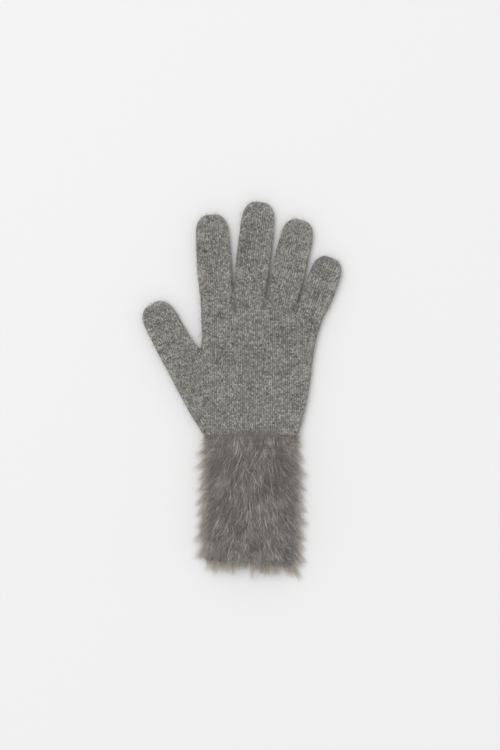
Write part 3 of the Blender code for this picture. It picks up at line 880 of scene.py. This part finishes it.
for name, sign in (("left", -1), ("right", 1)):
    chance = np.random.default_rng(31 + sign)
    along, roots = side_roots(sign, SIDE_HAIRS, chance)
    heading = np.radians(sign * 8 + chance.normal(0, 6, SIDE_HAIRS))
    grown = np.interp(along, (0, 0.2), (0.5, 1.0))
    length = SIDE_LENGTH * chance.uniform(0.45, 1.1, SIDE_HAIRS) * grown
    pull, clump_tone = clumped(roots, heading, length, SIDE_CLUMPS, chance)
    pull[:, 2] = np.clip(roots[:, 2] - length * 0.08, 0.0004, None)
    side_pile = hairs(
        "fur_side_" + name, fur, roots, heading, length, chance.normal(0.02, 0.04, SIDE_HAIRS),
        np.full(SIDE_HAIRS, 0.12), chance.normal(0, 0.4, SIDE_HAIRS),
        HAIR_WIDTH * chance.uniform(0.5, 1.0, SIDE_HAIRS),
        (chance.normal(0.40, 0.08, SIDE_HAIRS), chance.normal(0.74, 0.16, SIDE_HAIRS) + clump_tone),
        pull,
        chance.uniform(0.1, 0.6, SIDE_HAIRS),
    )

    along, roots = side_roots(sign, FRINGE_HAIRS, chance)
    lean = np.interp(along, (0.0, 0.3, 1.0), (52, 44, 32))
    heading = np.radians(sign * lean + chance.normal(0, 9, FRINGE_HAIRS))
    grown = np.interp(along, (0.0, 0.14, 0.4, 1.0), (0.50, 0.85, 1.0, 0.95))
    length = FRINGE_LENGTH * grown * (0.30 + 0.55 * chance.random(FRINGE_HAIRS) ** 1.3)
    share = 0.52 + 0.58 * chance.random(FRINGE_HAIRS)
    pull = into_tufts(roots, heading, length, tufts[sign], share, chance)
    fringe = hairs(
        "fur_fringe_" + name, fringe_fur_and_light, roots, heading, length,
        chance.normal(0.02, 0.05, FRINGE_HAIRS),
        np.full(FRINGE_HAIRS, 0.16), chance.normal(0, 0.4, FRINGE_HAIRS) - sign * 0.25,
        HAIR_WIDTH * chance.uniform(0.26, 0.52, FRINGE_HAIRS),
        (chance.normal(0.36, 0.1, FRINGE_HAIRS), chance.normal(0.72, 0.20, FRINGE_HAIRS)),
        pull,
        1 - 0.75 * chance.random(FRINGE_HAIRS) ** 1.5,
        3,
    )


# Fur cuff: the hem fringe and the crushed fur underneath. Thin hair hangs past the hem all
# round the mouth, and the fur that the glove lies on is short and pressed flat.
HEM_HAIRS = 1400
HEM_LENGTH = 0.0150
HEM_MIDDLE = 0.0060
UNDER_HAIRS = 4200
UNDER_LENGTH = 0.0115
UNDER_CLUMPS = 0.0050
UNDER_HEIGHT = 0.0010
EDGE_RISE = 0.0056

chance = np.random.default_rng(41)
across = chance.uniform(-0.99, 0.99, HEM_HAIRS)
upper = chance.random(HEM_HAIRS) < 0.72
edge_high = HEM_MIDDLE + EDGE_RISE * (1 - np.abs(across) ** CROWN_POWER) ** 0.5
edge_low = np.full(HEM_HAIRS, 0.0011)
roots = np.stack((
    across * (CUFF_HALF_WIDTH + 0.0004),
    CUFF_TOP - CUFF_LENGTH - HEM_SLANT * (across / 2 + 0.5) + chance.uniform(0.0, 0.0065, HEM_HAIRS),
    np.where(upper, edge_high, edge_low) + chance.uniform(-0.0002, 0.0006, HEM_HAIRS),
), axis=1)
heading = np.radians(22 * across + chance.normal(0, 13, HEM_HAIRS))
tuft = np.array([noise.noise(Vector((x / 0.0062, 1.5, 3.5))) for x in roots[:, 0]])
length = HEM_LENGTH * chance.uniform(0.25, 1.10, HEM_HAIRS) * (1 + 0.6 * tuft)
pull, clump_tone = clumped(roots, heading, length, CLUMP_SPACING, chance)
pull[:, 2] = np.clip(roots[:, 2] - length * 0.22, 0.0005, None)
# The hem fringe uses the same beige hair, made paler in part by painted light.
hem_fringe = hairs(
    "fur_hem_fringe", fringe_fur_and_light, roots, heading, length, chance.normal(-0.02, 0.05, HEM_HAIRS),
    np.full(HEM_HAIRS, 0.16), chance.normal(0, 0.6, HEM_HAIRS),
    HAIR_WIDTH * chance.uniform(0.28, 0.58, HEM_HAIRS),
    (chance.normal(0.26, 0.08, HEM_HAIRS), chance.normal(0.56, 0.18, HEM_HAIRS) + clump_tone),
    pull,
    0.6,
    3,
)

across = chance.uniform(-0.97, 0.97, UNDER_HAIRS)
along = chance.uniform(0.02, 0.97, UNDER_HAIRS)
half = np.array([cuff_half_width(a) for a in along]) + underfur_at(along)[0]
roots = np.stack((
    across * half,
    CUFF_TOP - along * (CUFF_LENGTH + HEM_SLANT * (across / 2 + 0.5)),
    np.full(UNDER_HAIRS, UNDER_HEIGHT),
), axis=1)
heading = combed(roots[:, 0], roots[:, 1], chance)
length = UNDER_LENGTH * chance.uniform(0.5, 1.2, UNDER_HAIRS)
pull, clump_tone = clumped(roots, heading, length, UNDER_CLUMPS, chance)
pull[:, 2] = chance.uniform(0.0003, 0.0007, UNDER_HAIRS)
crushed = hairs(
    "fur_under_side", fur, roots, heading, length, np.zeros(UNDER_HAIRS),
    np.full(UNDER_HAIRS, 0.05), chance.normal(0, 0.6, UNDER_HAIRS),
    HAIR_WIDTH * chance.uniform(0.6, 1.3, UNDER_HAIRS),
    (chance.normal(0.16, 0.06, UNDER_HAIRS), chance.normal(0.52, 0.15, UNDER_HAIRS) + clump_tone),
    pull,
)


# Fur over the knitted edge. Where the cuff is sewn on, short speckled hair stands up every way
# and hides the seam and the first rows of the jersey. A quarter of it lies flat underneath.
SEAM_HAIRS = 3600
SEAM_LENGTH = 0.0068
SEAM_MIDDLE = 0.0056
BELOW_SHARE = 0.25
BELOW_HEIGHT = 0.0009

chance = np.random.default_rng(51)
across = chance.uniform(-0.99, 0.99, SEAM_HAIRS)
below = chance.random(SEAM_HAIRS) < BELOW_SHARE
roots = np.stack((
    across * WRIST_HALF_WIDTH,
    CUFF_TOP - chance.uniform(-0.0008, 0.0065, SEAM_HAIRS),
    np.where(below, BELOW_HEIGHT, SEAM_MIDDLE + EDGE_RISE * (1 - np.abs(across) ** CROWN_POWER) ** 0.5),
), axis=1)
heading = np.radians(180 - 45 * across + chance.normal(0, 48, SEAM_HAIRS))
length = SEAM_LENGTH * chance.uniform(0.4, 1.25, SEAM_HAIRS)
seam_hair = hairs(
    "fur_at_seam", fur, roots, heading, length,
    np.where(below, -0.05, chance.uniform(0.10, 0.42, SEAM_HAIRS)),
    np.where(below, 0.0, 0.24), chance.normal(0, 0.9, SEAM_HAIRS),
    HAIR_WIDTH * chance.uniform(0.35, 0.85, SEAM_HAIRS),
    (chance.normal(0.30, 0.10, SEAM_HAIRS), chance.normal(0.66, 0.24, SEAM_HAIRS)),
)
